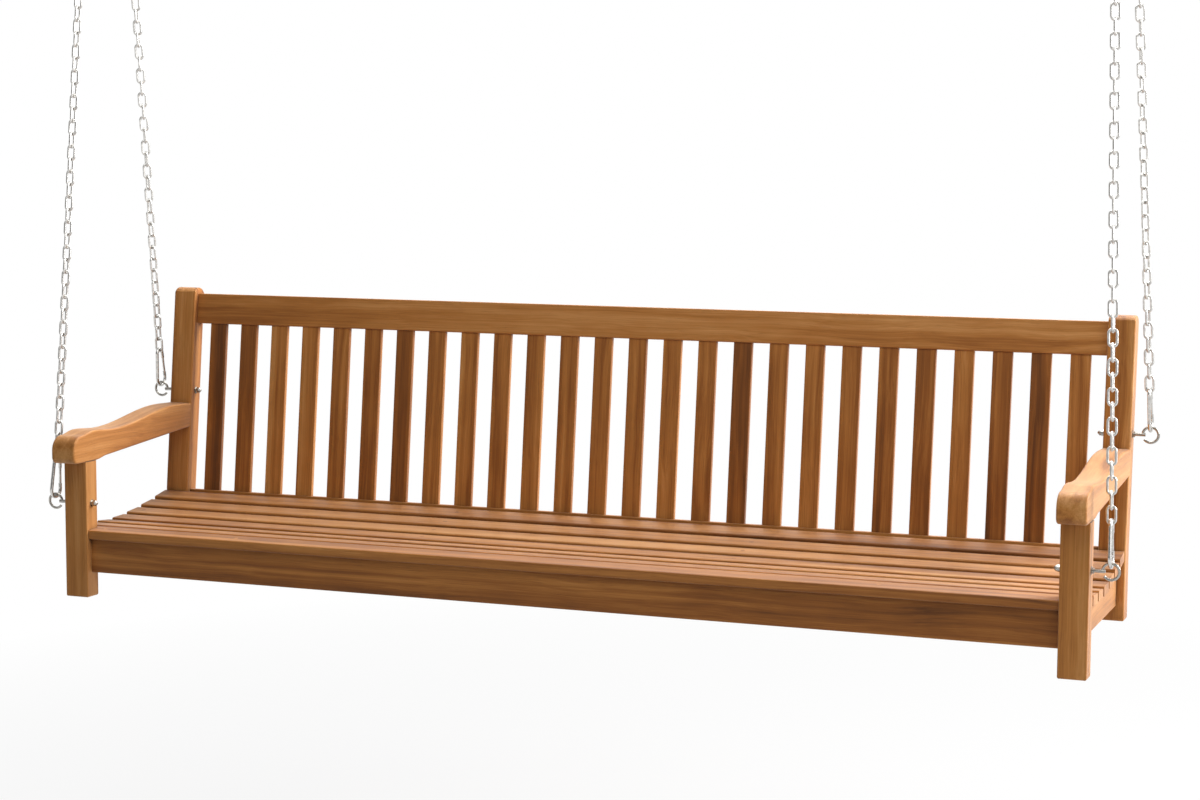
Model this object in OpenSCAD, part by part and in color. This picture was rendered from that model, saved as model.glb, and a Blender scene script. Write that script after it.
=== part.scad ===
// Hanging swing bench of teak, with a slatted seat and back, two arms and four chains.
// X runs along the bench, Y to its back and Z up, in millimetres.  The origin is on the
// ceiling, in the middle of the four ceiling hooks, and the bench hangs below it.

/* [Frame] */
// Length over the outer faces of the posts
bench_l = 2400; // [1500:10:2600]
// Width of a post along the bench
post_w = 60; // [56:1:70]
// Depth of a post, front to back
post_d = 46; // [42:1:56]
// Front face of the front posts to front face of the rear posts
frame_d = 452; // [440:1:520]
// Height of the front posts, up to the underside of the arms
front_post_h = 321; // [300:1:360]
// How much higher the rear posts end than the front posts
rear_foot_z = 39; // [0:1:60]
// Height at which the rear posts bend back
bend_z = 200; // [195:1:215]
// Slope of the back from the upright
back_rake = 6.2; // [2:0.1:10]
// Length of the raked part of the rear posts
rear_post_rise = 495; // [490:1:560]
// Rise of the domed top of the rear posts
post_dome = 13; // [8:1:18]
// Rounding of the long edges of posts and rails
edge_r = 3; // [2:0.5:5]

/* [Rails] */
// Thickness of the rails that run along the bench
rail_t = 24; // [22:1:26]
// Underside of the front rail above the foot of the posts
apron_z = 58; // [50:1:70]
// How far the front rail stands back from the posts
apron_recess = 18; // [12:1:20]
// Thickness of the side rails
side_rail_t = 30; // [26:1:34]
// How far the side rails stand in from the outer faces of the posts
side_recess = 18; // [12:1:20]
// Underside of the side rails, seat bearers and rear seat rail
side_rail_z = 74; // [66:1:80]
// Height of the rear seat rail
rear_rail_h = 70; // [60:1:76]
// How far the rear seat rail stands back from the front of the rear posts
rear_rail_recess = 6; // [4:1:12]
// Distance of the seat bearers from the middle
bearer_x = 380; // [250:10:450]
// Height of the top rail of the back
top_rail_h = 75; // [60:1:76]
// Underside of the top rail, along the slope from the bend
top_rail_from = 418; // [400:1:418]
// Height of the bottom rail of the back
bottom_rail_h = 46; // [40:1:48]
// How far the rails of the back stand back from the rear posts
back_rail_recess = 16; // [14:1:18]
// Length of the tenons
tenon_l = 18; // [14:1:18]
// Thickness of the tenons
tenon_t = 12; // [8:1:14]
// Shoulder above and below a tenon
tenon_shoulder = 12; // [10:1:14]
// Diameter of the pins that lock the tenons
pin_d = 8; // [6:0.5:8]
// Length of the pins that lock the tenons
pin_l = 32; // [28:1:34]
// Clearance round a tenon, slat end, pin or screw in its hole
wood_fit = 0.1; // [0.05:0.05:0.2]

/* [Slats] */
// Number of upright slats in the back
back_slat_count = 26; // [12:1:28]
// Width of a back slat
back_slat_w = 44.5; // [30:0.5:48]
// Gap between a rear post and the first back slat
back_end_gap = 37; // [30:1:42]
// Thickness of a back slat
back_slat_t = 12; // [9:1:13]
// How far the slats stand back from the face of the back rails
back_slat_recess = 4; // [3:1:7]
// How far a back slat enters a rail
slat_housing = 12; // [8:1:16]
// Number of seat slats
seat_slat_count = 7; // [7:1:7]
// Gap between seat slats
seat_gap = 10; // [8:0.5:12]
// Gap between the last seat slat and the rear posts
seat_rear_gap = 4; // [3:0.5:8]
// Thickness of a seat slat
seat_slat_t = 22; // [18:1:24]
// Front edge of the seat behind the face of the front posts
seat_front_y = 5; // [5:1:8]
// Height of the seat at its front edge
seat_front_z = 159; // [155:0.5:164]
// Height of the seat's crown, behind the first slat
seat_crown_z = 163; // [158:0.5:168]
// Height of the seat's lowest line
seat_dip_z = 157.5; // [150:0.5:162]
// Height of the seat at its rear edge
seat_rear_z = 196.5; // [185:0.5:200]
// How late the seat rises to the back, where 1 is a straight rise
seat_rise = 1.5; // [1:0.1:2.5]
// How far a seat slat's front edge stands above the rear edge of the slat before it
seat_step = 3; // [1:0.25:4]
// How far the slats stop short of the posts' outer faces
slat_end_recess = 2; // [0:1:16]
// Gap between the seat slats' undersides and the rails
seat_fit = 0.1; // [0.05:0.05:0.3]
// Rounding of the seat slats' edges
slat_edge_r = 4; // [2:0.5:5]

/* [Arms] */
// Width of an arm
arm_w = 62; // [60:1:70]
// How far the nose of an arm stands out in front of the post
nose_out = 50; // [40:1:70]
// Height of the arm's nose, from its underside to where it turns back
nose_h = 64; // [60:1:70]
// Radius of the front of the nose
nose_r = 34; // [28:1:40]
// Radius under the nose
nose_low_r = 15; // [6:1:20]
// Highest point of the hump over the front post, above the arm's underside
arm_hump = 72; // [70:1:82]
// Lowest point of the arm's top
arm_dip = 67; // [64:1:74]
// Highest point of the arm's top
arm_crest = 96; // [90:1:110]
// Height of the arm's top at the rear post
arm_end = 94; // [88:1:105]
// Rise of the underside behind the front post
under_step = 7; // [4:1:12]
// Height of the underside at the rear post
under_end = 34; // [28:1:38]
// Length of the post's tenon in the arm
arm_tenon = 25; // [18:1:35]

/* [Hardware] */
// Diameter of the eye bolts' rod
eye_rod_d = 6; // [5:0.5:7]
// Radius of the eye rings, to the middle of the rod
eye_ring_r = 17; // [14:0.5:18]
// Opening of the eye rings, in degrees
eye_open = 38; // [34:1:60]
// Diameter of the threaded shanks
shank_d = 8; // [7:0.5:9]
// Clearance round a shank in the post
shank_fit = 0.2; // [0.1:0.1:0.5]
// Middle of the ring beyond the outer face of the post
ring_out = 39; // [37:0.5:44]
// Height of the front eye bolts
front_eye_z = 222; // [210:1:240]
// Height of the rear eye bolts, along the slope from the bend
rear_eye_rise = 249; // [235:1:265]
// Diameter of the washers
washer_d = 17; // [15:0.5:20]
// Thickness of the washers
washer_t = 1.5; // [1:0.1:2]
// Width of the acorn nuts over the flats
nut_w = 13; // [12:0.5:14]
// Length of the acorn nuts
nut_l = 14; // [12:0.5:16]
// Length of the shank inside an acorn nut
nut_grip = 8; // [6:0.5:9]
// Diameter of the seat screws
screw_d = 4.5; // [4:0.1:5]
// Length of the seat screws
screw_l = 40; // [32:1:45]
// Diameter of the screw heads
screw_head_d = 8.5; // [8:0.1:9]
// Diameter of the wooden plugs over the screws
plug_d = 10; // [9.5:0.1:11]
// Length of the wooden plugs
plug_l = 5; // [4:0.5:6]
// Diameter of the arm screws
arm_screw_d = 6; // [5:0.5:7]
// Length of the arm screws
arm_screw_l = 95; // [80:1:110]
// Diameter of the arm screws' heads and plugs
arm_head_d = 12; // [11:0.5:14]

/* [Chains] */
// Rod of a chain link
link_d = 5.5; // [4.5:0.1:6]
// Inner length of a chain link
link_inner_l = 29.8; // [28:0.1:32]
// Inner width of a chain link
link_inner_w = 11.5; // [10.5:0.1:13]
// Play between links, and between a link and a ring
link_play = 0.3; // [0.2:0.05:0.4]
// Number of links in a front chain
front_links = 40; // [30:1:60]
// Slope of the front chains from the upright
front_lean = 7; // [3:0.1:10]
// Slope of the rear chains from the upright
rear_lean = 5.4; // [3:0.1:10]
// How much the chains lean in towards the middle as they rise
side_lean = 1.7; // [0:0.1:2.5]
// How far back the bench leans as it hangs
recline = 3.1; // [0:0.1:5]
// Middle of a front ceiling hook's ring below the ceiling
hook_drop = 40; // [36:1:80]
// Length of a ceiling hook's thread above the ceiling
hook_thread = 60; // [30:1:90]

/* [Snap hooks] */
// Rod of a snap hook
snap_d = 8; // [7:0.5:9]
// Length of a snap hook over all
snap_l = 102; // [94:1:108]
// Radius of its narrow end, to the middle of the rod
snap_top_r = 12; // [11:0.5:13]
// Radius of its wide end, to the middle of the rod
snap_low_r = 18; // [16:0.5:20]
// Play between a snap hook and the eye ring
snap_play = 0.5; // [0.4:0.05:0.6]
// Rod of the spring gate
gate_d = 6; // [5:0.5:7]
// Length of the gate, from its pin to its tip
gate_l = 40; // [34:1:42]
// Height of the gate's pin above the middle of the wide end
gate_pin_z = 8; // [6:1:10]
// Diameter of the gate's pin
gate_pin_d = 2; // [1.6:0.1:2.4]
// Play round the gate and its pin
gate_play = 0.3; // [0.2:0.05:0.4]
// Half-thickness of the slot for the gate's eye
gate_tongue = 1.5; // [1.2:0.1:1.8]

/* [Hidden] */
$fn = 48;
cut = 1;
half_l = bench_l / 2;
inner_l = bench_l - 2 * post_w;
side_out = half_l - side_recess;
side_mid = side_out - side_rail_t / 2;
post_mid = half_l - post_w / 2;
pin_x = inner_l / 2 + tenon_l / 2;

// Seat slats: their width, the middle of slat i, its slope and its height
seat_run = frame_d - seat_front_y - seat_rear_gap;
seat_pitch = (seat_run + seat_gap) / seat_slat_count;
seat_slat_w = seat_pitch - seat_gap;
function slat_y(i) = seat_front_y + seat_slat_w / 2 + i * seat_pitch;

// The seat's line: a height at each gap's middle, and the step there, from the second gap on
dip_gap = max(2, floor(seat_slat_count * 0.45));
function gap_y(k) = seat_front_y - seat_gap / 2 + k * seat_pitch;
function gap_z(k) = k == 0 ? seat_front_z
    : k <= dip_gap ? seat_crown_z + (seat_dip_z - seat_crown_z) * (k - 1) / (dip_gap - 1)
    : seat_dip_z + (seat_rear_z - seat_dip_z)
        * pow((k - dip_gap) / (seat_slat_count - dip_gap), seat_rise);
function step(k) = k < 2 || k == seat_slat_count ? 0 : seat_step;
function slat_front_z(i) = gap_z(i) + step(i) / 2;
function slat_rear_z(i) = gap_z(i + 1) - step(i + 1) / 2;
function slat_z(i) = (slat_front_z(i) + slat_rear_z(i)) / 2;
function slat_tilt(i) = atan2(slat_rear_z(i) - slat_front_z(i), seat_pitch);

// The rails' tops: their height under slat i, and where one slat's flat meets the next
under_t = seat_slat_t + seat_fit;
function under_z(i, y) = slat_front_z(i) - under_t / cos(slat_tilt(i)) + (y - gap_y(i)) * tan(slat_tilt(i));
function under_y(k) = let (a = slat_tilt(k - 1), b = slat_tilt(k))
    gap_y(k) + under_t * sin((a + b) / 2) / cos((b - a) / 2);
function under_corner(k) = let (y = under_y(k))
    concat([[y, under_z(k - 1, y)]], step(k) > 0 ? [[y, under_z(k, y)]] : []);
slat_stop = 0.5;
slat_x = [for (i = [0 : seat_slat_count - 1])
    i == 0 ? [inner_l / 2 - side_rail_t, (inner_l / 2 + bearer_x) / 2] : [side_mid, bearer_x]];

// Back slats: left edge of slat i
back_pitch = (inner_l - 2 * back_end_gap - back_slat_w) / (back_slat_count - 1);
function back_slat_x(i) = -inner_l / 2 + back_end_gap + i * back_pitch;

// Arm: stations of its outline above the underside, where its slope is nil
arm_z = front_post_h;
hump_y = post_d * 0.8;
dip_y = frame_d * 0.28;
crest_y = frame_d * 0.88;
function post_face(z) = frame_d + (z - bend_z) * tan(back_rake) - wood_fit;
arm_end_y = post_face(arm_z + arm_end);
under_end_y = post_face(arm_z + under_end);
step_len = 50;
function ease(a, b, n) = [for (k = [1 : n])
    [a[0] + (b[0] - a[0]) * k / n, a[1] + (b[1] - a[1]) * (1 - cos(180 * k / n)) / 2]];
function arc(c, r, a0, a1, n) = [for (k = [0 : n])
    [c[0] + r * cos(a0 + (a1 - a0) * k / n), c[1] + r * sin(a0 + (a1 - a0) * k / n)]];

// Snap hook: two round ends joined by straight legs, in its own Y and Z, wide end at 0
snap_span = snap_l - snap_top_r - snap_low_r - snap_d;
leg_tilt = asin((snap_low_r - snap_top_r) / snap_span);
leg_l = snap_span * cos(leg_tilt);
snap_low_z = -snap_low_r;
snap_top_z = snap_span + snap_top_r;
ring_in_snap = snap_low_z + snap_d / 2 + snap_play + eye_rod_d / 2;
gate_from = gate_pin_z;

// Chains: distances down a chain from the middle of the ceiling ring's rod
link_pitch = link_inner_l - link_play;
first_link = link_inner_l / 2 - eye_rod_d / 2 - link_play;
snap_gap = link_inner_l / 2 - link_play - snap_d / 2;
snap_reach = snap_top_z - ring_in_snap;
function chain_l(n) = first_link + (n - 1) * link_pitch + snap_gap + snap_reach;

// Places in the bench's own frame turned by the recline: Y, Z of the eye rings' upper rod
function reclined(p) = [p[0] * cos(recline) + p[1] * sin(recline),
    p[1] * cos(recline) - p[0] * sin(recline)];
front_eye = [post_d / 2, front_eye_z];
rear_eye = [frame_d + post_d / 2 * cos(back_rake) + rear_eye_rise * sin(back_rake),
    bend_z - post_d / 2 * sin(back_rake) + rear_eye_rise * cos(back_rake)];
ring_up = [eye_ring_r * -sin(recline), eye_ring_r * cos(recline)];
front_pivot = reclined(front_eye + ring_up);
rear_pivot = reclined(rear_eye + ring_up);
front_chain_l = chain_l(front_links);
front_rise_l = front_chain_l * cos(side_lean);
front_hook = front_pivot + front_rise_l * [sin(front_lean), cos(front_lean)];
rear_want_l = (front_hook[1] - rear_pivot[1]) / cos(rear_lean) / cos(side_lean);
rear_links = round((rear_want_l - chain_l(1)) / link_pitch) + 1;
rear_chain_l = chain_l(rear_links);
rear_rise_l = rear_chain_l * cos(side_lean);
rear_hook = rear_pivot + rear_rise_l * [-sin(rear_lean), cos(rear_lean)];
ceiling_z = front_hook[1] + eye_ring_r + hook_drop;
middle_y = (front_hook[1] > 0) ? (front_hook[0] + rear_hook[0]) / 2 : 0;
chain_x = half_l + ring_out;
front_hook_x = chain_x - front_chain_l * sin(side_lean);
rear_hook_x = chain_x - rear_chain_l * sin(side_lean);
rear_hook_drop = ceiling_z - rear_hook[1] - eye_ring_r;

CORNERS = ["front_left", "front_right", "rear_left", "rear_right"];

// ---- places ----

// The bench's own frame: origin at the foot of the front posts, in the middle
module hung() {
    translate([0, -middle_y, -ceiling_z])
        rotate([-recline, 0, 0])
            children();
}

// The sloping back: origin on the front face of the rear posts, where they bend
module raked() {
    translate([0, frame_d, bend_z])
        rotate([-back_rake, 0, 0])
            children();
}

// A seat slat's own frame: origin on its top, at its middle
module on_slat(i) {
    translate([0, slat_y(i), slat_z(i)])
        rotate([slat_tilt(i), 0, 0])
            children();
}

module both_sides() {
    children();
    mirror([1, 0, 0])
        children();
}

// A chain's own frame: origin in the middle of the ceiling ring's rod, chain along -Z
module on_chain(corner) {
    side = (corner == 0 || corner == 2) ? -1 : 1;
    hook = (corner < 2) ? front_hook : rear_hook;
    lean = (corner < 2) ? -front_lean : rear_lean;
    x = (corner < 2) ? front_hook_x : rear_hook_x;
    translate([side * x, hook[0] - middle_y, hook[1] - ceiling_z])
        rotate([lean, 0, 0])
            rotate([0, -side * side_lean, 0])
                children();
}

// ---- shapes ----

module rounded_rect(w, h, r) {
    translate([r, 0])
        square([w - 2 * r, h]);
    translate([0, r])
        square([w, h - 2 * r]);
    for (x = [r, w - r])
        for (y = [r, h - r])
            translate([x, y])
                circle(r);
}

// A bar along X, its section from 0 to d in Y and 0 to h in Z
module bar(l, d, h, r) {
    translate([-l / 2, 0, 0])
        rotate([90, 0, 90])
            linear_extrude(l)
                rounded_rect(d, h, r);
}

// A flat shape in Y and Z, as thick as t and centred on x
module plate(x, t) {
    translate([x - t / 2, 0, 0])
        rotate([90, 0, 90])
            linear_extrude(t)
                children();
}

// Tenons at both ends of a rail along X; fit is 0 for the tenon, more for its mortise
module end_tenons(d, h, fit) {
    l = inner_l + 2 * tenon_l + 2 * fit;
    translate([-l / 2, (d - tenon_t) / 2 - fit, tenon_shoulder - fit])
        cube([l, tenon_t + 2 * fit, h - 2 * tenon_shoulder + 2 * fit]);
}

module rod(p, l, d) {
    translate(p)
        cylinder(h = l, d = d);
}

// Part of a ring in X and Z, from angle a0 to a1
module ring_part(r, d, a0, a1) {
    rotate([90, 0, 0])
        rotate([0, 0, a0])
            rotate_extrude(angle = a1 - a0)
                translate([r, 0])
                    circle(d = d);
}

// An open eye: ring round the origin in X and Z, shank along -X, l long from the ring's middle
module eye(l) {
    ring_part(eye_ring_r, eye_rod_d, -180 + eye_open, 180);
    rotate([0, -90, 0])
        rod([0, 0, eye_ring_r - eye_rod_d], l - eye_ring_r + eye_rod_d, shank_d);
}

// ---- frame ----

module apron_place() {
    translate([0, apron_recess, apron_z])
        children();
}

apron_top = under_z(0, gap_y(0));
apron_tenon_h = apron_top - apron_z - 4;

module apron_tenons(fit) {
    apron_place()
        end_tenons(rail_t, apron_tenon_h, fit);
}

module side_tenons(fit) {
    l = frame_d - post_d + 2 * tenon_l + 2 * fit;
    translate([side_mid - tenon_t / 2 - fit, post_d - tenon_l - fit,
        side_rail_z + tenon_shoulder - fit])
        cube([tenon_t + 2 * fit, l, apron_top - side_rail_z - 2 * tenon_shoulder + 2 * fit]);
}

module rear_rail_place() {
    translate([0, frame_d + rear_rail_recess, side_rail_z])
        children();
}

module bottom_rail_place() {
    raked()
        translate([0, back_rail_recess, -bottom_rail_h])
            children();
}

module top_rail_place() {
    raked()
        translate([0, back_rail_recess, top_rail_from])
            children();
}

// Pins from behind through the tenons; the last argument is the clearance
module one_pin(y, z, fit) {
    translate([pin_x, y + fit, z])
        rotate([90, 0, 0])
            cylinder(h = pin_l + 2 * fit, d = pin_d + 2 * fit);
}

module pins(fit) {
    one_pin(post_d, apron_z + apron_tenon_h / 2, fit);
    one_pin(frame_d + post_d, side_rail_z + rear_rail_h / 2, fit);
    raked() {
        one_pin(post_d, -bottom_rail_h / 2, fit);
        one_pin(post_d, top_rail_from + top_rail_h / 2, fit);
    }
}

module front_bore() {
    translate([half_l - post_w - cut, front_eye[0], front_eye[1]])
        rotate([0, 90, 0])
            cylinder(h = post_w + 2 * cut, d = shank_d + 2 * shank_fit);
}

module rear_bore() {
    translate([half_l - post_w - cut, rear_eye[0], rear_eye[1]])
        rotate([0, 90, 0])
            cylinder(h = post_w + 2 * cut, d = shank_d + 2 * shank_fit);
}

module post_tenon(fit) {
    w = post_w / 2;
    d = post_d / 2;
    translate([post_mid - w / 2 - fit, d / 2 - fit, front_post_h - cut])
        cube([w + 2 * fit, d + 2 * fit, arm_tenon + cut + fit]);
}

module front_post() {
    color("peru")
        union() {
            difference() {
                translate([half_l - post_w, 0, 0])
                    linear_extrude(front_post_h)
                        rounded_rect(post_w, post_d, edge_r);
                apron_tenons(wood_fit);
                side_tenons(wood_fit);
                front_bore();
                pins(wood_fit);
            }
            post_tenon(0);
        }
}

// A point of the raked part of the post, in the bench's Y and Z
function tilted(p) = [frame_d + p[0] * cos(back_rake) + p[1] * sin(back_rake),
    bend_z - p[0] * sin(back_rake) + p[1] * cos(back_rake)];

module rear_post_outline() {
    r = (pow(post_d / 2, 2) + pow(post_dome, 2)) / (2 * post_dome);
    half = asin(post_d / 2 / r);
    crown = arc([post_d / 2, rear_post_rise + post_dome - r], r, 90 + half, 90 - half, 24);
    polygon(concat([[frame_d, rear_foot_z], [frame_d, bend_z]],
        [for (p = crown) tilted(p)],
        [[frame_d + post_d, bend_z - post_d * tan(back_rake / 2)],
            [frame_d + post_d, rear_foot_z]]));
}

module arm_screw_place() {
    raked()
        translate([post_mid, post_d, arm_screw_rise])
            rotate([90, 0, 0])
                children();
}

arm_screw_rise = (arm_z + (arm_end + under_end) / 2 - bend_z) / cos(back_rake);
arm_plug_l = plug_l;
arm_head_l = 4;

module rear_post() {
    color("peru")
        difference() {
            plate(post_mid, post_w)
                rear_post_outline();
            rear_rail_place()
                end_tenons(rail_t, rear_rail_h, wood_fit);
            bottom_rail_place()
                end_tenons(rail_t, bottom_rail_h, wood_fit);
            top_rail_place()
                end_tenons(rail_t, top_rail_h, wood_fit);
            side_tenons(wood_fit);
            rear_bore();
            pins(wood_fit);
            arm_screw_place() {
                rod([0, 0, -cut], arm_plug_l + arm_head_l + cut + wood_fit, arm_head_d + 2 * wood_fit);
                rod([0, 0, 0], post_d + cut, arm_screw_d + 2 * wood_fit);
            }
        }
}

module arm_outline() {
    nose = -nose_out;
    low = [nose + nose_low_r, arm_z + nose_low_r];
    high = [nose + nose_r, arm_z + nose_h - nose_r];
    polygon(concat(
        arc(high, nose_r, 180, 90, 12),
        ease([high[0], arm_z + nose_h], [hump_y, arm_z + arm_hump], 6),
        ease([hump_y, arm_z + arm_hump], [dip_y, arm_z + arm_dip], 8),
        ease([dip_y, arm_z + arm_dip], [crest_y, arm_z + arm_crest], 20),
        ease([crest_y, arm_z + arm_crest], [arm_end_y, arm_z + arm_end], 8),
        [[under_end_y, arm_z + under_end]],
        [[post_d + step_len, arm_z + under_step]],
        ease([post_d + step_len, arm_z + under_step], [post_d, arm_z], 8),
        arc(low, nose_low_r, 270, 180, 6)));
}

module armrest() {
    color("sandybrown")
        difference() {
            plate(post_mid, arm_w)
                arm_outline();
            post_tenon(wood_fit);
            arm_screw_place()
                rod([0, 0, post_d - cut], arm_screw_reach - post_d + cut + wood_fit,
                    arm_screw_d + 2 * wood_fit);
        }
}

arm_screw_reach = arm_plug_l + arm_head_l + arm_screw_l;

module arm_screws() {
    color("silver")
        both_sides()
            arm_screw_place() {
                rod([0, 0, arm_plug_l], arm_head_l, arm_head_d);
                rod([0, 0, arm_plug_l + arm_head_l - 1], arm_screw_l + 1, arm_screw_d);
            }
}

module arm_plugs() {
    color("peru")
        both_sides()
            arm_screw_place()
                rod([0, 0, 0], arm_plug_l, arm_head_d);
}

// What lies above the rails' tops, with a flat for each seat slat
module seat_space(x, t) {
    n = seat_slat_count;
    front = -post_d;
    rear = frame_d + 2 * post_d;
    top = bend_z + post_d;
    plate(x, t)
        polygon(concat(
            [[front, under_z(0, front)]],
            [for (k = [1 : n - 1]) each under_corner(k)],
            [[rear, under_z(n - 1, rear)], [rear, top], [front, top]]));
}

module seat_front_rail() {
    color("sienna")
        union() {
            difference() {
                apron_place()
                    bar(inner_l, rail_t, seat_front_z - apron_z, edge_r);
                seat_space(0, inner_l + 2 * cut);
                bearer_tenons(wood_fit);
                screw_holes();
            }
            difference() {
                apron_tenons(0);
                cube([inner_l - 2 * cut, frame_d, frame_d], center = true);
                pins(wood_fit);
                mirror([1, 0, 0])
                    pins(wood_fit);
            }
        }
}

module side_rail() {
    color("sandybrown")
        difference() {
            union() {
                plate(side_mid, side_rail_t)
                    translate([post_d, side_rail_z])
                        square([frame_d - post_d, bend_z - side_rail_z]);
                side_tenons(0);
            }
            seat_space(side_mid, side_rail_t + 2 * cut);
            screw_holes();
        }
}

bearer_from = apron_recess + rail_t;
bearer_to = frame_d + rear_rail_recess;
bearer_stub = 10;

module bearer_tenons(fit) {
    for (x = [-bearer_x, bearer_x])
        translate([x - tenon_t / 2 - fit, bearer_from - bearer_stub - fit,
            side_rail_z + tenon_shoulder - fit])
            cube([tenon_t + 2 * fit, bearer_to - bearer_from + 2 * bearer_stub + 2 * fit,
                apron_top - side_rail_z - 2 * tenon_shoulder + 2 * fit]);
}

module seat_bearer() {
    color("sienna")
        difference() {
            union() {
                plate(bearer_x, side_rail_t)
                    translate([bearer_from, side_rail_z])
                        square([bearer_to - bearer_from, bend_z - side_rail_z]);
                intersection() {
                    bearer_tenons(0);
                    translate([bearer_x - side_rail_t, 0, 0])
                        cube([2 * side_rail_t, frame_d + post_d, bend_z]);
                }
            }
            seat_space(bearer_x, side_rail_t + 2 * cut);
            rear_rail_top();
            screw_holes();
        }
}

// Behind the last slat the bearers are cut level with the rear seat rail
module rear_rail_top() {
    translate([0, frame_d - seat_rear_gap, side_rail_z + rear_rail_h])
        cube([bench_l, post_d, post_d]);
}

module seat_rear_rail() {
    color("sienna")
        difference() {
            union() {
                rear_rail_place()
                    bar(inner_l, rail_t, rear_rail_h, edge_r);
                rear_rail_place()
                    end_tenons(rail_t, rear_rail_h, 0);
            }
            bearer_tenons(wood_fit);
            pins(wood_fit);
            mirror([1, 0, 0])
                pins(wood_fit);
        }
}

module slat_mortises() {
    raked()
        back_slat_set(wood_fit);
}

module back_slat_set(fit) {
    for (i = [0 : back_slat_count - 1])
        translate([back_slat_x(i) - fit, back_rail_recess + back_slat_recess - fit,
            -slat_housing - fit])
            cube([back_slat_w + 2 * fit, back_slat_t + 2 * fit,
                top_rail_from + 2 * slat_housing + 2 * fit]);
}

module back_slats() {
    color("chocolate")
        raked()
            back_slat_set(0);
}

module back_top_rail() {
    color("sienna")
        difference() {
            union() {
                top_rail_place()
                    bar(inner_l, rail_t, top_rail_h, edge_r);
                top_rail_place()
                    end_tenons(rail_t, top_rail_h, 0);
            }
            slat_mortises();
            pins(wood_fit);
            mirror([1, 0, 0])
                pins(wood_fit);
        }
}

module back_bottom_rail() {
    color("sienna")
        difference() {
            union() {
                bottom_rail_place()
                    bar(inner_l, rail_t, bottom_rail_h, edge_r);
                bottom_rail_place()
                    end_tenons(rail_t, bottom_rail_h, 0);
            }
            slat_mortises();
            pins(wood_fit);
            mirror([1, 0, 0])
                pins(wood_fit);
        }
}

module tenon_pins() {
    color("burlywood")
        both_sides()
            pins(0);
}

// ---- seat ----

// Holes for the seat screws, with the plugs' bores above them
module screw_holes() {
    for (i = [0 : seat_slat_count - 1])
        slat_screw_holes(i);
}

module slat_screw_holes(i) {
    on_slat(i)
        for (x = slat_x[i])
            for (s = [-1, 1])
                translate([s * x, 0, 0]) {
                    rod([0, 0, -plug_l - screw_l - wood_fit], screw_l + plug_l,
                        screw_d + 2 * wood_fit);
                    rod([0, 0, -plug_l - screw_head_l - wood_fit],
                        plug_l + screw_head_l + wood_fit + cut, plug_d + 2 * wood_fit);
                }
}

screw_head_l = 3;

module seat_slat(i) {
    l = 2 * (half_l - slat_end_recess);
    color(i % 2 == 0 ? "burlywood" : "tan")
        difference() {
            on_slat(i)
                translate([0, -seat_slat_w / 2, -seat_slat_t])
                    bar(l, seat_slat_w, seat_slat_t, slat_edge_r);
            if (i == 0)
                both_sides()
                    translate([inner_l / 2 - slat_stop, -cut, 0])
                        cube([post_w, post_d + slat_stop + cut, frame_d]);
            slat_screw_holes(i);
        }
}

module seat_screws() {
    color("silver")
        for (i = [0 : seat_slat_count - 1])
            on_slat(i)
                for (x = slat_x[i])
                    for (s = [-1, 1])
                        translate([s * x, 0, -plug_l]) {
                            rod([0, 0, -screw_head_l], screw_head_l, screw_head_d);
                            rod([0, 0, -screw_l], screw_l, screw_d);
                        }
}

module seat_plugs() {
    color("tan")
        for (i = [0 : seat_slat_count - 1])
            on_slat(i)
                for (x = slat_x[i])
                    for (s = [-1, 1])
                        rod([s * x, 0, -plug_l], plug_l, plug_d);
}

// ---- eye bolts ----

eye_inside = washer_t + nut_grip;
collar_l = 4;

module at_eyes(corner) {
    p = (corner < 2) ? front_eye : rear_eye;
    if (corner == 0 || corner == 2)
        mirror([1, 0, 0])
            translate([half_l, p[0], p[1]])
                children();
    else
        translate([half_l, p[0], p[1]])
            children();
}

module eye_bolt(corner) {
    color("silver")
        at_eyes(corner) {
            translate([ring_out, 0, 0])
                rotate([recline, 0, 0])
                    eye(ring_out + post_w + eye_inside);
            translate([washer_t, 0, 0])
                rotate([0, 90, 0])
                    cylinder(h = collar_l, d = shank_d + 5);
        }
}

module washer() {
    rotate([0, 90, 0])
        difference() {
            cylinder(h = washer_t, d = washer_d);
            translate([0, 0, -cut])
                cylinder(h = washer_t + 2 * cut, d = shank_d + 2 * shank_fit);
        }
}

module eye_washers() {
    color("silver")
        for (corner = [0 : 3])
            at_eyes(corner) {
                washer();
                translate([-post_w - washer_t, 0, 0])
                    washer();
            }
}

module acorn_nuts() {
    hex_l = 6;
    color("silver")
        for (corner = [0 : 3])
            at_eyes(corner)
                translate([-post_w - washer_t, 0, 0])
                    rotate([0, -90, 0])
                        difference() {
                            union() {
                                cylinder(h = hex_l, d = nut_w / cos(30), $fn = 6);
                                cylinder(h = nut_l - nut_w / 2 + 2, d = nut_w);
                                translate([0, 0, nut_l - nut_w / 2 + 2 - 0.01])
                                    cylinder(h = nut_w / 2 - 2, d1 = nut_w, d2 = 4);
                            }
                            translate([0, 0, -cut])
                                cylinder(h = nut_grip + cut + 0.5, d = shank_d + 2 * link_play);
                        }
}

// ---- chains ----

// A link in X and Z, round the origin
module link() {
    r = (link_inner_w + link_d) / 2;
    straight = link_inner_l - link_inner_w;
    for (s = [-1, 1])
        translate([s * r, 0, -straight / 2])
            cylinder(h = straight, d = link_d);
    translate([0, 0, straight / 2])
        ring_part(r, link_d, 0, 180);
    translate([0, 0, -straight / 2])
        ring_part(r, link_d, 180, 360);
}

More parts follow.
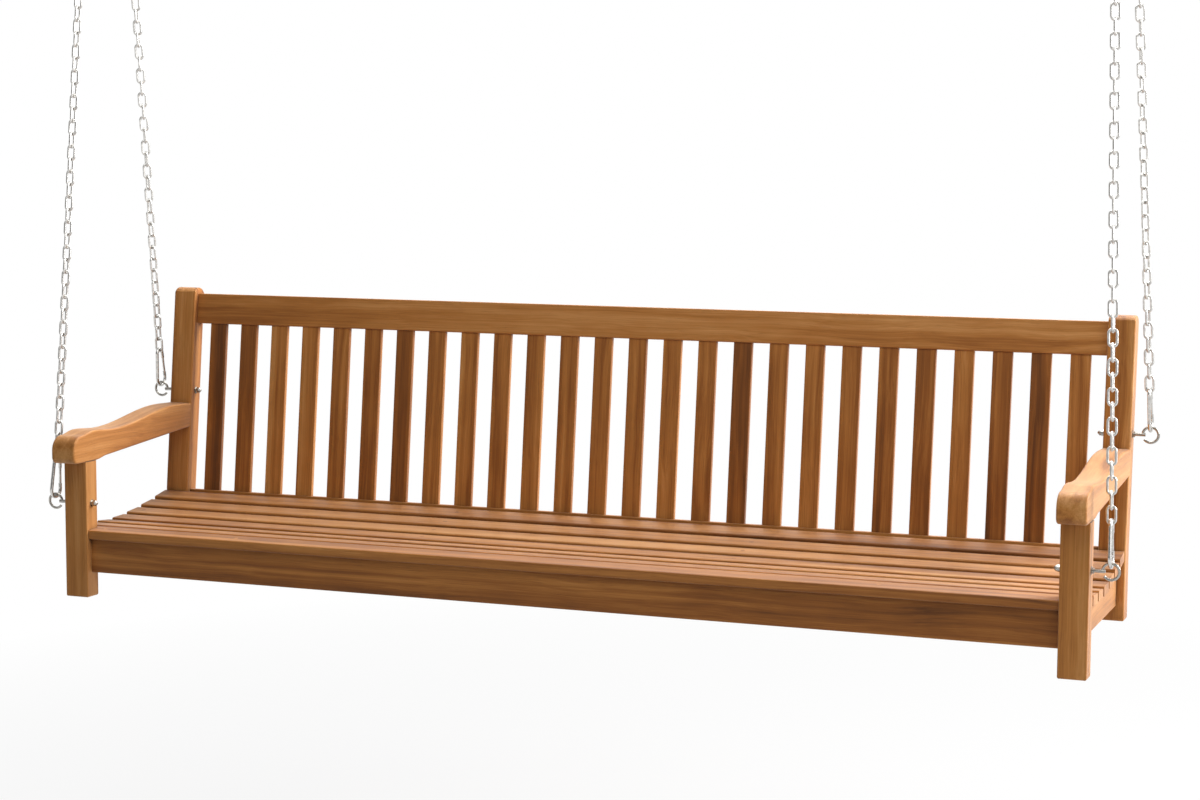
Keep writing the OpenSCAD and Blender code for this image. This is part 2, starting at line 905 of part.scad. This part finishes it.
// Link k of a chain of n links, turned a quarter from its neighbour; an odd chain also twists
module chain_link(k, n) {
    twist = (n % 2 == 0) ? 0 : 90 * k / (n - 1);
    translate([0, 0, -first_link - k * link_pitch])
        rotate([0, 0, 90 * (k + 1) + twist])
            link();
}

function links(corner) = (corner < 2) ? front_links : rear_links;

module top_link(corner) {
    color("gainsboro")
        on_chain(corner)
            chain_link(0, links(corner));
}

module chain(corner) {
    n = links(corner);
    color("gainsboro")
        on_chain(corner)
            for (k = [1 : n - 1])
                chain_link(k, n);
}

module ceiling_hook(corner) {
    side = (corner == 0 || corner == 2) ? -1 : 1;
    hook = (corner < 2) ? front_hook : rear_hook;
    drop = (corner < 2) ? hook_drop : rear_hook_drop;
    x = (corner < 2) ? front_hook_x : rear_hook_x;
    color("silver")
        translate([side * x, hook[0] - middle_y, -drop]) {
            rotate([0, 90, 0])
                eye(drop + hook_thread);
            rod([0, 0, drop - collar_l], collar_l, washer_d);
        }
}

// ---- snap hooks ----

module on_snap(corner) {
    reach = chain_l(links(corner));
    on_chain(corner)
        translate([0, 0, -reach - ring_in_snap])
            rotate([0, 0, 90])
                children();
}

// A leg of the snap hook, from a to b along it; side is -1 or 1
module snap_leg(side, a, b, d) {
    translate([side * snap_low_r * cos(leg_tilt), 0, snap_low_r * sin(leg_tilt)])
        rotate([0, -side * leg_tilt, 0])
            translate([0, 0, a])
                cylinder(h = b - a, d = d);
}

// Where a leg meets a bend, both stop short in a bead
bead = 0.5;
function turn(r) = bead / r * 180 / PI;

module snap_bead(side, a) {
    translate([side * snap_low_r * cos(leg_tilt), 0, snap_low_r * sin(leg_tilt)])
        rotate([0, -side * leg_tilt, 0])
            translate([0, 0, a])
                sphere(d = snap_d + 0.3);
}

module gate_place() {
    translate([snap_low_r * cos(leg_tilt), 0, snap_low_r * sin(leg_tilt)])
        rotate([0, -leg_tilt, 0])
            translate([0, 0, gate_from])
                children();
}

module pin_hole(d) {
    rotate([90, 0, 0])
        translate([0, 0, -snap_d])
            cylinder(h = 2 * snap_d, d = d);
}

module snap_hook(corner) {
    fork = snap_d / 2;
    nose = gate_from + gate_l + gate_play;
    color("silver")
        on_snap(corner)
            difference() {
                union() {
                    ring_part(snap_low_r, snap_d, 180 - leg_tilt + turn(snap_low_r),
                        360 + leg_tilt - turn(snap_low_r));
                    translate([0, 0, snap_span])
                        ring_part(snap_top_r, snap_d, leg_tilt + turn(snap_top_r),
                            180 - leg_tilt - turn(snap_top_r));
                    snap_leg(-1, bead, leg_l - bead, snap_d);
                    snap_leg(1, bead, gate_from + fork, snap_d);
                    snap_leg(1, nose, leg_l - bead, snap_d);
                    for (side = [-1, 1])
                        for (end = [0, leg_l])
                            snap_bead(side, end);
                }
                gate_place() {
                    translate([-snap_d, -gate_tongue - gate_play, -fork])
                        cube([2 * snap_d, 2 * (gate_tongue + gate_play), 3 * fork]);
                    pin_hole(gate_pin_d + 0.1);
                }
            }
}

module snap_gate(corner) {
    eye_r = snap_d / 2 - gate_play;
    shoulder = snap_d / 2 + 4 * gate_play;
    color("gray")
        on_snap(corner)
            gate_place()
                difference() {
                    union() {
                        translate([0, gate_tongue, 0])
                            rotate([90, 0, 0])
                                cylinder(h = 2 * gate_tongue, r = eye_r);
                        intersection() {
                            cylinder(h = shoulder + 1, d = gate_d);
                            translate([-gate_d, -gate_tongue, 0])
                                cube([2 * gate_d, 2 * gate_tongue, shoulder + 1]);
                        }
                        translate([0, 0, shoulder])
                            cylinder(h = gate_l - shoulder, d = gate_d);
                    }
                    pin_hole(gate_pin_d + 2 * gate_play);
                }
}

module gate_pin(corner) {
    color("dimgray")
        on_snap(corner)
            gate_place()
                rotate([90, 0, 0])
                    translate([0, 0, -snap_d / 2])
                        cylinder(h = snap_d, d = gate_pin_d);
}

// ---- drawing ----

module left() {
    hung()
        mirror([1, 0, 0])
            children();
}

left() front_post();  // front_post_left
hung() front_post();  // front_post_right
left() rear_post();  // rear_post_left
hung() rear_post();  // rear_post_right
left() armrest();  // armrest_left
hung() armrest();  // armrest_right
hung() seat_front_rail();
hung() seat_rear_rail();
left() side_rail();  // side_rail_left
hung() side_rail();  // side_rail_right
left() seat_bearer();  // seat_bearer_left
hung() seat_bearer();  // seat_bearer_right
hung() back_top_rail();
hung() back_bottom_rail();
hung() back_slats();
for (i = [0 : seat_slat_count - 1])
    hung() seat_slat(i);
hung() tenon_pins();
hung() seat_screws();
hung() seat_plugs();
hung() arm_screws();
hung() arm_plugs();
hung() eye_washers();
hung() acorn_nuts();
for (c = [0 : 3]) {
    hung() eye_bolt(c);
    snap_hook(c);
    snap_gate(c);
    gate_pin(c);
    top_link(c);
    chain(c);
    ceiling_hook(c);
}
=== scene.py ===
"""Looks for the hanging swing bench.

Procedural teak and plated steel, a pale studio, and the camera as in the photograph.
"""
import math
import bmesh
import bpy
from mathutils import Matrix, Vector


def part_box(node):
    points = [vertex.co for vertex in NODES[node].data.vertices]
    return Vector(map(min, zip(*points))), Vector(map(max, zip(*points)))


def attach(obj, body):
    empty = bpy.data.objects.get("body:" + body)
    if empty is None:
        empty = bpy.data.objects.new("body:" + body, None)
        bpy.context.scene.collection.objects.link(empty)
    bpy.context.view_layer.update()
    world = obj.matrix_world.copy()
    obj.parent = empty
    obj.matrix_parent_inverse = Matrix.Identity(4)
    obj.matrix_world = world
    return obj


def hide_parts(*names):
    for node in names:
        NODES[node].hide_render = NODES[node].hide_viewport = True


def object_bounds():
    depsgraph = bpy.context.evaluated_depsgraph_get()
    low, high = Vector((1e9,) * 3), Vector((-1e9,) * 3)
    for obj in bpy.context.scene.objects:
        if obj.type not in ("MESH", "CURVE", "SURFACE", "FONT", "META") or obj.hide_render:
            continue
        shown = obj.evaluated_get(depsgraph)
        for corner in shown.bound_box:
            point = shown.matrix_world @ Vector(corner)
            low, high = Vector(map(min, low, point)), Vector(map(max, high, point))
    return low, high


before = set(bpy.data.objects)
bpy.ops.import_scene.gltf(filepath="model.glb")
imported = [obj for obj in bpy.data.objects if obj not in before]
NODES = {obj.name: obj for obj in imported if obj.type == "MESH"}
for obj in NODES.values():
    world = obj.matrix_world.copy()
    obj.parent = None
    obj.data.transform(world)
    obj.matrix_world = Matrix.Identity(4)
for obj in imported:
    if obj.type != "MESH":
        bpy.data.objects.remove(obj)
rest_lo, rest_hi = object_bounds()

# ---- lean of the grain, about X ----
RECLINE = math.radians(3.1)     # seat, arms and front posts
BACK = math.radians(9.1)        # rear posts, back rails and back slats

# ---- bands across X that share one tone, in metres ----
SLAT_PITCH = 0.08646            # each back slat lies in the middle of a band
SLAT_START = -1.14 + 0.0167     # from the left post's inner face to the first band
PLUG_PITCH = 0.05               # seat plugs
SEED_STEP, SEED_SHIFT = 1.37, 0.5

# ---- rounding of worked edges, in metres ----
POST_EDGE = 0.004
ARM_EDGE = 0.005
SLAT_EDGE = 0.0015
EDGE_SEGMENTS = 3
SHARP = math.radians(30)        # flatter edges than this aren't rounded
SMOOTH = math.radians(40)       # flatter edges than this are shaded smooth
NO_ANGLE = 9.0                  # stands for the angle to a face without area
COPLANAR = math.radians(0.5)    # faces this level with each other are joined first
SAME_PLACE = 1e-6               # vertices this near to each other are one
ON_FACE = 2e-5                  # an edge this near to a side face lies on it
BORE_CHORD = 0.0012             # the chords of bores are shorter than this
FOOT_DEPTH = 0.004              # the feet lean, so their edges lie within this height
REARWARD, DOWNWARD = 0.93, -0.9     # face normals: Y of the rear end, Z of the foot
LONG, SIDEWAYS, UPWARD = 0.05, 0.01, 0.9    # a slat's edge: length, most X, least Z


def srgb(r, g, b):
    """Display colour, 0 to 255, as linear RGBA."""
    def f(c):
        c /= 255
        return c / 12.92 if c <= 0.04045 else ((c + 0.055) / 1.055) ** 2.4
    return (f(r), f(g), f(b), 1.0)


# ---- teak ----
TEAK = [(0.0, srgb(104, 60, 22)), (0.33, srgb(154, 94, 39)), (0.62, srgb(190, 126, 61)),
        (1.0, srgb(221, 163, 99))]
PORE = srgb(92, 50, 22)
# painted shade: the dark brown that gaps and corners are darkened towards
PAINTED_SHADE_COLOUR = srgb(38, 20, 8)
MID_TONE = 0.52
# noise layers: stretch along and across the grain per metre, detail, roughness
WARP = ((2.6, 7.0, 7.0), 2.0, 0.5)
BROAD = ((0.5, 17.0, 17.0), 2.0, 0.5)
STREAK = ((0.9, 80.0, 80.0), 3.0, 0.6)
FIBRE = ((4.5, 430.0, 430.0), 3.0, 0.6)
HEART = ((0.55, 44.0, 44.0), 1.0, 0.5)
PORES = ((22.0, 900.0, 900.0), 2.0, 0.6)
BLOTCH = ((7.0, 26.0, 26.0), 2.0, 0.5)
# shifts that keep the layers apart
HEART_SHIFT = (3.1, 1.7, 2.3)
BLOTCH_SHIFT = (1.1, 5.7, 4.3)
BOARD_SHIFT = (7.0, 3.0, 3.0)
# how much each layer moves the tone
BROAD_WEIGHT, STREAK_WEIGHT, FIBRE_WEIGHT = 1.1, 0.75, 0.5
BLOTCH_WEIGHT, HEART_WEIGHT = 0.3, -0.22
GRAIN_BEND = 0.03
HEART_FROM, HEART_TO = 0.56, 0.74
PORE_FROM, PORE_MIX, PORE_DEPTH = 0.66, 0.28, -0.6
# painted shade in gaps and corners: its reach, its samples, the occlusion span it fades over, and
# its strength
PAINTED_SHADE_REACH = 0.03                  # how far a surface looks for its neighbours, in metres
PAINTED_SHADE_SAMPLES = 8
OPEN_FROM, OPEN_TO, PAINTED_SHADE_MIX = 0.2, 0.7, 0.95
WOOD_ROUGH, FIBRE_ROUGH = 0.4, 0.22
WOOD_SPECULAR, WOOD_SHEEN, SHEEN_ROUGH = 0.32, 0.26, 0.4
WOOD_BUMP, WOOD_BUMP_DEPTH = 0.35, 0.0004

# ---- metal ----
ZINC = srgb(220, 218, 214)
GREY_STEEL = srgb(176, 172, 165)
SNAP_STEEL = srgb(216, 214, 210)
SPECK = 0.72                    # brightness of the darkest flecks
FLECK = 0.05                    # roughness varies by this both ways
FLECK_FROM, FLECK_TO = 0.3, 0.62
DULL_SCALE, FINE_SCALE = 140.0, 900.0
DULL_DETAIL, FINE_DETAIL = 3.0, 2.0
METAL_BUMP, METAL_BUMP_DEPTH = 0.05, 0.0003


class Tree:
    """Small helper round a node tree."""

    def __init__(self, owner):
        owner.use_nodes = True
        self.nt = owner.node_tree
        self.nt.nodes.clear()

    def add(self, kind, inputs=None, **props):
        n = self.nt.nodes.new(kind)
        for k, v in props.items():
            setattr(n, k, v)
        for k, v in (inputs or {}).items():
            self.put(n.inputs[k], v)
        return n

    def put(self, socket, value):
        if isinstance(value, bpy.types.NodeSocket):
            self.nt.links.new(value, socket)
        elif value is not None:
            socket.default_value = value

    def math(self, op, a, b=None, c=None):
        return self.add("ShaderNodeMath", {0: a, 1: b, 2: c}, operation=op).outputs[0]

    def vmath(self, op, a, b):
        return self.add("ShaderNodeVectorMath", {0: a, 1: b}, operation=op).outputs[0]

    def noise(self, vector, scale=1.0, detail=2.0, rough=0.5):
        return self.add("ShaderNodeTexNoise", {"Vector": vector, "Scale": scale, "Detail": detail,
                                               "Roughness": rough}).outputs[0]

    def layer(self, vector, spec):
        stretch, detail, rough = spec
        return self.noise(self.vmath("MULTIPLY", vector, stretch), 1.0, detail, rough)

    def sway(self, value, weight, base):
        """Base, moved by a value that lies round one half."""
        return self.math("MULTIPLY_ADD", self.math("SUBTRACT", value, 0.5), weight, base)

    def span(self, value, from_min, from_max, to_min=0.0, to_max=1.0, smooth=False):
        kind = "SMOOTHSTEP" if smooth else "LINEAR"
        return self.add("ShaderNodeMapRange",
                        {"Value": value, "From Min": from_min, "From Max": from_max,
                         "To Min": to_min, "To Max": to_max},
                        interpolation_type=kind).outputs["Result"]

    def ramp(self, fac, stops):
        n = self.add("ShaderNodeValToRGB", {0: fac})
        e = n.color_ramp.elements
        while len(e) < len(stops):
            e.new(0.5)
        for item, (pos, col) in zip(e, stops):
            item.position = pos
            item.color = col
        return n.outputs[0]

    def mix(self, fac, a, b):
        """Colour mix; inputs 6 and 7 and output 2 are the node's colour sockets."""
        return self.add("ShaderNodeMix", {0: fac, 6: a, 7: b}, data_type="RGBA").outputs[2]

    def seen(self):
        """The light path, and 1 where the camera, a reflection or glass looks, else 0."""
        lp = self.add("ShaderNodeLightPath")
        both = self.math("MAXIMUM", lp.outputs["Is Camera Ray"], lp.outputs["Is Glossy Ray"])
        return lp, self.math("MAXIMUM", both, lp.outputs["Is Transmission Ray"])

    def finish(self, shader, kind="Material"):
        self.add("ShaderNodeOutput" + kind, {0: shader})


def new_material(name):
    mat = bpy.data.materials.new(name)
    return mat, Tree(mat)


def grain_space(t, along, tilt, seed, pitch=None, start=0.0):
    """Coordinates in the board's own frame, grain along X, and the board's random value."""
    tc = t.add("ShaderNodeTexCoord")
    rot = t.add("ShaderNodeVectorRotate", {"Vector": tc.outputs["Object"], "Angle": tilt},
                rotation_type="X_AXIS")
    sep = t.add("ShaderNodeSeparateXYZ", {0: rot.outputs[0]})
    order = {"X": (0, 1, 2), "Y": (1, 0, 2), "Z": (2, 0, 1)}[along]
    com = t.add("ShaderNodeCombineXYZ", {i: sep.outputs[o] for i, o in enumerate(order)})
    if pitch:
        cell = t.math("DIVIDE", t.math("SUBTRACT", sep.outputs[0], start), pitch)
        w = t.math("ADD", t.math("FLOOR", cell), float(seed))
    else:
        w = float(seed) * SEED_STEP + SEED_SHIFT
    wn = t.add("ShaderNodeTexWhiteNoise", {"W": w}, noise_dimensions="1D")
    shift = t.vmath("MULTIPLY", wn.outputs["Color"], BOARD_SHIFT)
    return t.vmath("ADD", com.outputs[0], shift), wn.outputs["Value"]


def wood(name, along, seed, tilt=0.0, pitch=None, start=0.0, tone=0.0, vary=0.22):
    """Teak with its grain along an axis; pitch gives each band across X a board of its own."""
    mat, t = new_material(name)
    p, board = grain_space(t, along, tilt, seed, pitch, start)
    warp = t.math("MULTIPLY", t.math("SUBTRACT", t.layer(p, WARP), 0.5), GRAIN_BEND)
    q = t.vmath("ADD", p, t.add("ShaderNodeCombineXYZ", {1: warp, 2: warp}).outputs[0])
    fibre = t.layer(q, FIBRE)
    heart = t.layer(t.vmath("ADD", q, HEART_SHIFT), HEART)
    f = t.sway(t.layer(q, BROAD), BROAD_WEIGHT, MID_TONE + tone)
    f = t.sway(t.layer(q, STREAK), STREAK_WEIGHT, f)
    f = t.sway(fibre, FIBRE_WEIGHT, f)
    f = t.sway(board, vary, f)
    f = t.sway(t.layer(t.vmath("ADD", p, BLOTCH_SHIFT), BLOTCH), BLOTCH_WEIGHT, f)
    f = t.math("MULTIPLY_ADD", t.span(heart, HEART_FROM, HEART_TO, smooth=True), HEART_WEIGHT, f)
    dots = t.math("GREATER_THAN", t.layer(p, PORES), PORE_FROM)
    col = t.mix(t.math("MULTIPLY", dots, PORE_MIX), t.ramp(f, TEAK), PORE)
    # painted shade: an ambient occlusion mask darkens the narrow gaps and the corners towards a
    # dark brown, where shade falls
    ao = t.add("ShaderNodeAmbientOcclusion", {"Distance": PAINTED_SHADE_REACH}, samples=PAINTED_SHADE_SAMPLES)
    painted_shade = t.span(ao.outputs["AO"], OPEN_FROM, OPEN_TO, PAINTED_SHADE_MIX, 0.0, smooth=True)
    col = t.mix(painted_shade, col, PAINTED_SHADE_COLOUR)
    height = t.math("ADD", fibre, t.math("MULTIPLY", dots, PORE_DEPTH))
    bump = t.add("ShaderNodeBump", {"Strength": WOOD_BUMP, "Distance": WOOD_BUMP_DEPTH,
                                    "Height": height})
    bsdf = t.add("ShaderNodeBsdfPrincipled", {
        "Base Color": col, "Roughness": t.math("MULTIPLY_ADD", fibre, FIBRE_ROUGH, WOOD_ROUGH),
        "Specular IOR Level": WOOD_SPECULAR, "Sheen Weight": WOOD_SHEEN,
        "Sheen Roughness": SHEEN_ROUGH, "Normal": bump.outputs[0]})
    t.finish(bsdf.outputs[0])
    return mat


def metal(name, colour, rough):
    """Plated steel with darker flecks and a slightly uneven surface."""
    mat, t = new_material(name)
    tc = t.add("ShaderNodeTexCoord")
    dull = t.noise(tc.outputs["Object"], DULL_SCALE, DULL_DETAIL)
    fine = t.noise(tc.outputs["Object"], FINE_SCALE, FINE_DETAIL)
    dark = tuple(c * SPECK for c in colour[:3]) + (1.0,)
    bump = t.add("ShaderNodeBump", {"Strength": METAL_BUMP, "Distance": METAL_BUMP_DEPTH,
                                    "Height": dull})
    bsdf = t.add("ShaderNodeBsdfPrincipled", {
        "Base Color": t.ramp(dull, [(FLECK_FROM, dark), (FLECK_TO, colour)]), "Metallic": 1.0,
        "Roughness": t.math("MULTIPLY_ADD", fine, FLECK * 2, rough - FLECK),
        "Normal": bump.outputs[0]})
    t.finish(bsdf.outputs[0])
    return mat


def dress(node, mat):
    ob = NODES[node]
    ob.data.materials.clear()
    ob.data.materials.append(mat)


def soft_normals(me):
    """Corner normals: each is the area-weighted mean of the nearly level faces round its vertex."""
    bm = bmesh.new()
    bm.from_mesh(me)
    bm.faces.ensure_lookup_table()
    area = [f.calc_area() for f in bm.faces]
    out = []
    for f in bm.faces:
        for loop in f.loops:
            n = Vector((0, 0, 0))
            for g in loop.vert.link_faces:
                if g is f or g.normal.angle(f.normal, NO_ANGLE) < SMOOTH:
                    n += g.normal * area[g.index]
            out.append(n.normalized() if n.length else f.normal.copy())
    bm.free()
    for poly in me.polygons:
        poly.use_smooth = True
    me.normals_split_custom_set(out)


def outline(e, lo, hi):
    """Edges of a plate's left and right faces, but not the chords of its bores."""
    a, b = (v.co for v in e.verts)
    on_side = any(abs(a.x - x) < ON_FACE and abs(b.x - x) < ON_FACE for x in (lo[0], hi[0]))
    return on_side and (a - b).length > BORE_CHORD


def outline_not_rear(e, lo, hi):
    """The same, without the rear end, which butts against the post."""
    return outline(e, lo, hi) and all(f.normal.y < REARWARD for f in e.link_faces)


def foot(e, lo, hi):
    """Edges around the sawn foot of a post."""
    return (all(v.co.z < lo[2] + FOOT_DEPTH for v in e.verts)
            and any(f.normal.z < DOWNWARD for f in e.link_faces))


def outline_and_foot(e, lo, hi):
    return outline(e, lo, hi) or foot(e, lo, hi)


def long_upright(e, lo, hi):
    """Long edges that run up the back."""
    d = e.verts[0].co - e.verts[1].co
    way = d.normalized()
    return d.length > LONG and abs(way.x) < SIDEWAYS and abs(way.z) > UPWARD


def eased(node, mat, width, keep):
    """A copy of a CAD node with its worked edges rounded over; it takes the node's place."""
    bm = bmesh.new()
    bm.from_mesh(NODES[node].data)
    bmesh.ops.remove_doubles(bm, verts=bm.verts, dist=SAME_PLACE)
    bmesh.ops.dissolve_limit(bm, angle_limit=COPLANAR, verts=bm.verts, edges=bm.edges)
    bm.normal_update()
    lo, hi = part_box(node)
    edges = [e for e in bm.edges if len(e.link_faces) == 2 and e.is_convex
             and e.calc_face_angle(0) > SHARP and keep(e, lo, hi)]
    bmesh.ops.bevel(bm, geom=edges, offset=width, segments=EDGE_SEGMENTS, profile=0.5,
                    affect="EDGES", clamp_overlap=False)
    bmesh.ops.triangulate(bm, faces=[f for f in bm.faces if len(f.verts) > 4])
    bm.normal_update()
    me = bpy.data.meshes.new(node + "_eased")
    bm.to_mesh(me)
    bm.free()
    soft_normals(me)
    ob = bpy.data.objects.new(node + "_eased", me)
    bpy.context.collection.objects.link(ob)
    me.materials.append(mat)
    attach(ob, "bench")
    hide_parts(node)


# ---- wooden pieces: the number is each board's own seed ----
for k, side in enumerate(("left", "right")):
    eased("front_post_" + side,
          wood("teak front post " + side, "Z", 3 + k, RECLINE, tone=0.22), POST_EDGE, foot)
    eased("rear_post_" + side,
          wood("teak rear post " + side, "Z", 5 + k, BACK), POST_EDGE, outline_and_foot)
    eased("armrest_" + side,
          wood("teak arm " + side, "Y", 7 + k, RECLINE, tone=0.14), ARM_EDGE, outline_not_rear)
    dress("side_rail_" + side, wood("teak side rail " + side, "Y", 9 + k, RECLINE))
    dress("seat_bearer_" + side, wood("teak bearer " + side, "Y", 11 + k, RECLINE))
dress("seat_front_rail", wood("teak front rail", "X", 13, RECLINE, tone=-0.05))
dress("seat_rear_rail", wood("teak rear rail", "X", 14, RECLINE))
dress("back_top_rail", wood("teak top rail", "X", 15, BACK))
dress("back_bottom_rail", wood("teak bottom rail", "X", 16, BACK))
eased("back_slats",
      wood("teak back slats", "Z", 40, BACK, SLAT_PITCH, SLAT_START, tone=-0.05, vary=0.34),
      SLAT_EDGE, long_upright)
for i in range(7):
    dress("seat_slat_%d" % (i + 1),
          wood("teak seat slat %d" % (i + 1), "X", 20 + i, RECLINE, tone=0.06))
dress("tenon_pins", wood("teak pins", "Y", 30, BACK, tone=0.08))
dress("seat_plugs", wood("teak plugs", "X", 31, RECLINE, PLUG_PITCH, vary=0.3))
dress("arm_plugs", wood("teak arm plugs", "Z", 32, BACK, tone=0.05))

# ---- metal pieces ----
zinc = metal("zinc plated chain", ZINC, 0.3)
steel = metal("grey steel", GREY_STEEL, 0.24)
snap = metal("plated snap hook", SNAP_STEEL, 0.2)
for n in NODES:
    if n.startswith(("chain_", "top_link_")):
        dress(n, zinc)
    elif n.startswith(("snap_hook_", "snap_gate_")):
        dress(n, snap)
    elif n.startswith(("eye_bolt_", "ceiling_hook_", "gate_pin_")) or n in (
            "eye_washers", "acorn_nuts", "seat_screws", "arm_screws"):
        dress(n, steel)

# ---- studio: a pale floor that keeps the object's shadow and turns plain white further out ----
FLOOR_Z = rest_lo.z - 0.75
FLOOR_RADIUS = 40
FLOOR_CORNERS = 96
SHADOW_NEAR, SHADOW_FAR = 1.2, 3.4      # from the middle, in metres
FLOOR_GREY = 0.6
NEAR_WHITE = 0.8                # how white the floor looks near the middle
FILL = 0.02                     # strength of the world's light on the object
ROOM_FRONT, ROOM_BACK, ROOM_DIM = -0.55, 0.15, 0.3
WHITE = (1, 1, 1, 1)

bpy.ops.mesh.primitive_circle_add(vertices=FLOOR_CORNERS, radius=FLOOR_RADIUS, fill_type="NGON",
                                  location=(0, 0, FLOOR_Z))
floor = bpy.context.object
floor.name = "floor"
floor_mat, ft = new_material("pale floor")
diffuse = ft.add("ShaderNodeBsdfDiffuse", {"Color": (FLOOR_GREY, FLOOR_GREY, FLOOR_GREY, 1)})
white = ft.add("ShaderNodeEmission", {"Strength": 1.0})
place = ft.add("ShaderNodeTexCoord")
out = ft.add("ShaderNodeVectorMath", {0: place.outputs["Object"]}, operation="LENGTH")
far = ft.span(out.outputs["Value"], SHADOW_NEAR, SHADOW_FAR, NEAR_WHITE, 1.0)
ft.finish(ft.add("ShaderNodeMixShader", {
    0: ft.math("MULTIPLY", ft.seen()[1], far), 1: diffuse.outputs[0],
    2: white.outputs[0]}).outputs[0])
floor.data.materials.append(floor_mat)

world = bpy.data.worlds.new("studio")
bpy.context.scene.world = world
wt = Tree(world)
path, world_seen = wt.seen()
# a mirror-like surface sees white behind the object and a dimmer room in front of it
way = wt.add("ShaderNodeTexCoord")
parts = wt.add("ShaderNodeSeparateXYZ", {0: way.outputs["Generated"]})
room = wt.span(parts.outputs[1], ROOM_FRONT, ROOM_BACK, ROOM_DIM, 1.0)
level = wt.math("MAXIMUM", room, path.outputs["Is Camera Ray"])
fill = wt.add("ShaderNodeBackground", {"Color": WHITE, "Strength": FILL})
white = wt.add("ShaderNodeBackground", {"Color": WHITE, "Strength": level})
wt.finish(wt.add("ShaderNodeMixShader", {0: world_seen, 1: fill.outputs[0],
                                         2: white.outputs[0]}).outputs[0], "World")

# ---- lamps: name, place, point aimed at, width and height in metres, watts ----
AIM_RIGHT, AIM_MIDDLE = (0.2, 0.0, -1.3), (0.0, 0.0, -1.3)
LAMPS = (
    ("key", (4.4, 2.0, 0.4), AIM_RIGHT, (2.6, 2.6), 290),
    ("right", (4.4, -2.2, 0.4), AIM_RIGHT, (2.6, 2.6), 52),
    ("top", (0.3, 1.7, 1.5), AIM_MIDDLE, (3.4, 2.0), 150),
    ("top front", (0.3, -1.6, 1.5), AIM_MIDDLE, (3.4, 2.0), 46),
)
for name, spot, target, size, power in LAMPS:
    data = bpy.data.lights.new(name, "AREA")
    data.shape = "RECTANGLE"
    data.size, data.size_y = size
    data.energy = power
    lamp = bpy.data.objects.new(name, data)
    bpy.context.collection.objects.link(lamp)
    lamp.location = spot
    lamp.rotation_euler = (Vector(target) - Vector(spot)).to_track_quat("-Z", "Y").to_euler()
    lamp.visible_camera = False

# ---- camera, fitted to the bench's corners in the photograph ----
cam_data = bpy.data.cameras.new("camera")
cam = bpy.data.objects.new("camera", cam_data)
bpy.context.collection.objects.link(cam)
cam_data.sensor_width = 36.0
cam_data.sensor_fit = "HORIZONTAL"
cam_data.lens = 73.1027
cam_data.clip_start = 0.1
cam_data.clip_end = 100
cam.matrix_world = Matrix(((0.931937, -0.042565, 0.360114, 2.02752),
                           (0.362328, 0.149203, -0.920031, -5.07652),
                           (-0.014569, 0.98789, 0.15447, -0.21587),
                           (0, 0, 0, 1)))
scene = bpy.context.scene
scene.camera = cam
scene.view_settings.view_transform = "Standard"
